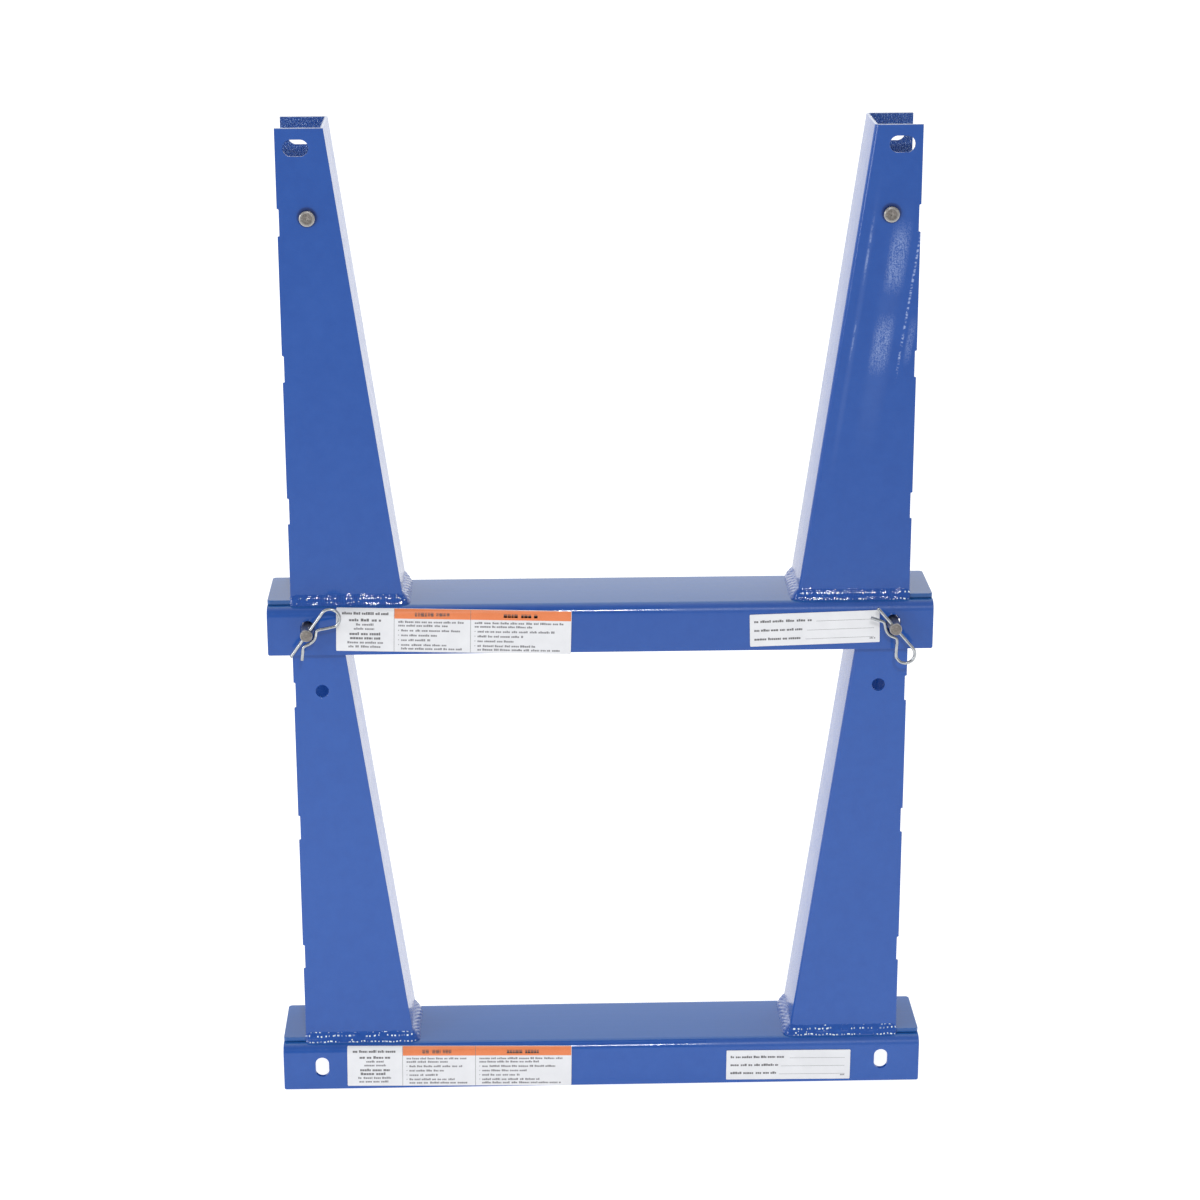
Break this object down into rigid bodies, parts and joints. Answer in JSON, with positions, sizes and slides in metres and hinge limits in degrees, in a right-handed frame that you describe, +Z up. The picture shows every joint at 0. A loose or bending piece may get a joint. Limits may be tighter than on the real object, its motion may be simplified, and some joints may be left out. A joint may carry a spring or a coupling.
{
  "type": "stacking bar rack",
  "caption": "Stack of U-shaped steel bar racks: channel base, tapered channel uprights, clevis lock pins and hairpin clips hold the upper unit on the lower.",
  "frame": {"origin": "centre of the footprint, on the floor under the lower base", "axes": "+X along the base to the right as seen from the labelled side, +Y to the back (away from the labels), +Z up"},
  "size_m": [0.6858, 0.1604, 1.0338],
  "materials": {
    "lower_base": "gloss blue powder coat with fine orange peel",
    "lower_foot_plate_left": "gloss blue powder coat",
    "lower_upright_left": "gloss blue powder coat, coarse inside",
    "lower_weld_left_front": "rippled weld under gloss blue powder coat",
    "lower_weld_left_back": "rippled weld under gloss blue powder coat",
    "lower_weld_left_inner": "rippled weld under gloss blue powder coat",
    "lower_foot_plate_right": "gloss blue powder coat",
    "lower_upright_right": "gloss blue powder coat, coarse inside",
    "lower_weld_right_front": "rippled weld under gloss blue powder coat",
    "lower_weld_right_back": "rippled weld under gloss blue powder coat",
    "lower_weld_right_inner": "rippled weld under gloss blue powder coat",
    "lower_load_label": "printed vinyl label, no lettering",
    "lower_rating_label": "printed vinyl label, no lettering",
    "upper_base": "gloss blue powder coat with fine orange peel",
    "upper_foot_plate_left": "gloss blue powder coat",
    "upper_upright_left": "gloss blue powder coat, coarse inside",
    "upper_weld_left_front": "rippled weld under gloss blue powder coat",
    "upper_weld_left_back": "rippled weld under gloss blue powder coat",
    "upper_weld_left_inner": "rippled weld under gloss blue powder coat",
    "upper_foot_plate_right": "gloss blue powder coat",
    "upper_upright_right": "gloss blue powder coat, coarse inside",
    "upper_weld_right_front": "rippled weld under gloss blue powder coat",
    "upper_weld_right_back": "rippled weld under gloss blue powder coat",
    "upper_weld_right_inner": "rippled weld under gloss blue powder coat",
    "upper_load_label": "printed vinyl label, no lettering",
    "upper_rating_label": "printed vinyl label, no lettering",
    "lock_pin_left": "dull zinc plate",
    "lock_clip_left": "bright zinc-plated spring wire",
    "stowed_pin_left": "dull zinc plate",
    "stowed_clip_left": "bright zinc-plated spring wire",
    "lock_pin_right": "dull zinc plate",
    "lock_clip_right": "bright zinc-plated spring wire",
    "stowed_pin_right": "dull zinc plate",
    "stowed_clip_right": "bright zinc-plated spring wire"
  },
  "bodies": {
    "lower_rack": {"lower_base": "lower_base", "lower_foot_plate_left": "lower_foot_plate_left", "lower_upright_left": "lower_upright_left", "lower_weld_left_front": "lower_weld_left_front", "lower_weld_left_back": "lower_weld_left_back", "lower_weld_left_inner": "lower_weld_left_inner", "lower_foot_plate_right": "lower_foot_plate_right", "lower_upright_right": "lower_upright_right", "lower_weld_right_front": "lower_weld_right_front", "lower_weld_right_back": "lower_weld_right_back", "lower_weld_right_inner": "lower_weld_right_inner", "lower_load_label": "lower_load_label", "lower_rating_label": "lower_rating_label"},
    "upper_rack": {"upper_base": "upper_base", "upper_foot_plate_left": "upper_foot_plate_left", "upper_upright_left": "upper_upright_left", "upper_weld_left_front": "upper_weld_left_front", "upper_weld_left_back": "upper_weld_left_back", "upper_weld_left_inner": "upper_weld_left_inner", "upper_foot_plate_right": "upper_foot_plate_right", "upper_upright_right": "upper_upright_right", "upper_weld_right_front": "upper_weld_right_front", "upper_weld_right_back": "upper_weld_right_back", "upper_weld_right_inner": "upper_weld_right_inner", "upper_load_label": "upper_load_label", "upper_rating_label": "upper_rating_label"},
    "lock_pin_left": {"lock_pin_left": "lock_pin_left"},
    "lock_clip_left": {"lock_clip_left": "lock_clip_left"},
    "stowed_pin_left": {"stowed_pin_left": "stowed_pin_left"},
    "stowed_clip_left": {"stowed_clip_left": "stowed_clip_left"},
    "lock_pin_right": {"lock_pin_right": "lock_pin_right"},
    "lock_clip_right": {"lock_clip_right": "lock_clip_right"},
    "stowed_pin_right": {"stowed_pin_right": "stowed_pin_right"},
    "stowed_clip_right": {"stowed_clip_right": "stowed_clip_right"}
  },
  "joints": [
    {"name": "upper_rack_lift", "type": "slide", "parent": "lower_rack", "child": "upper_rack", "axis": [0, 0, 1], "range_m": [0, 0.006]},
    {"name": "lock_pin_left_slide", "type": "slide", "parent": "lower_rack", "child": "lock_pin_left", "axis": [0, 1, 0], "range_m": [0, 0.014]},
    {"name": "lock_clip_left_pull", "type": "slide", "parent": "lock_pin_left", "child": "lock_clip_left", "axis": [0.5793, 0, 0.8151], "range_m": [0, 0.045], "deforming": ["lock_clip_left"]},
    {"name": "stowed_pin_left_slide", "type": "slide", "parent": "upper_rack", "child": "stowed_pin_left", "axis": [0, -1, 0], "range_m": [0, 0.038]},
    {"name": "stowed_clip_left_pull", "type": "slide", "parent": "stowed_pin_left", "child": "stowed_clip_left", "axis": [0, 0, -1], "range_m": [0, 0.045], "deforming": ["stowed_clip_left"]},
    {"name": "lock_pin_right_slide", "type": "slide", "parent": "lower_rack", "child": "lock_pin_right", "axis": [0, 1, 0], "range_m": [0, 0.014]},
    {"name": "lock_clip_right_pull", "type": "slide", "parent": "lock_pin_right", "child": "lock_clip_right", "axis": [0.6494, 0, -0.7604], "range_m": [0, 0.045], "deforming": ["lock_clip_right"]},
    {"name": "stowed_pin_right_slide", "type": "slide", "parent": "upper_rack", "child": "stowed_pin_right", "axis": [0, -1, 0], "range_m": [0, 0.038]},
    {"name": "stowed_clip_right_pull", "type": "slide", "parent": "stowed_pin_right", "child": "stowed_clip_right", "axis": [0, 0, -1], "range_m": [0, 0.045], "deforming": ["stowed_clip_right"]}
  ]
}
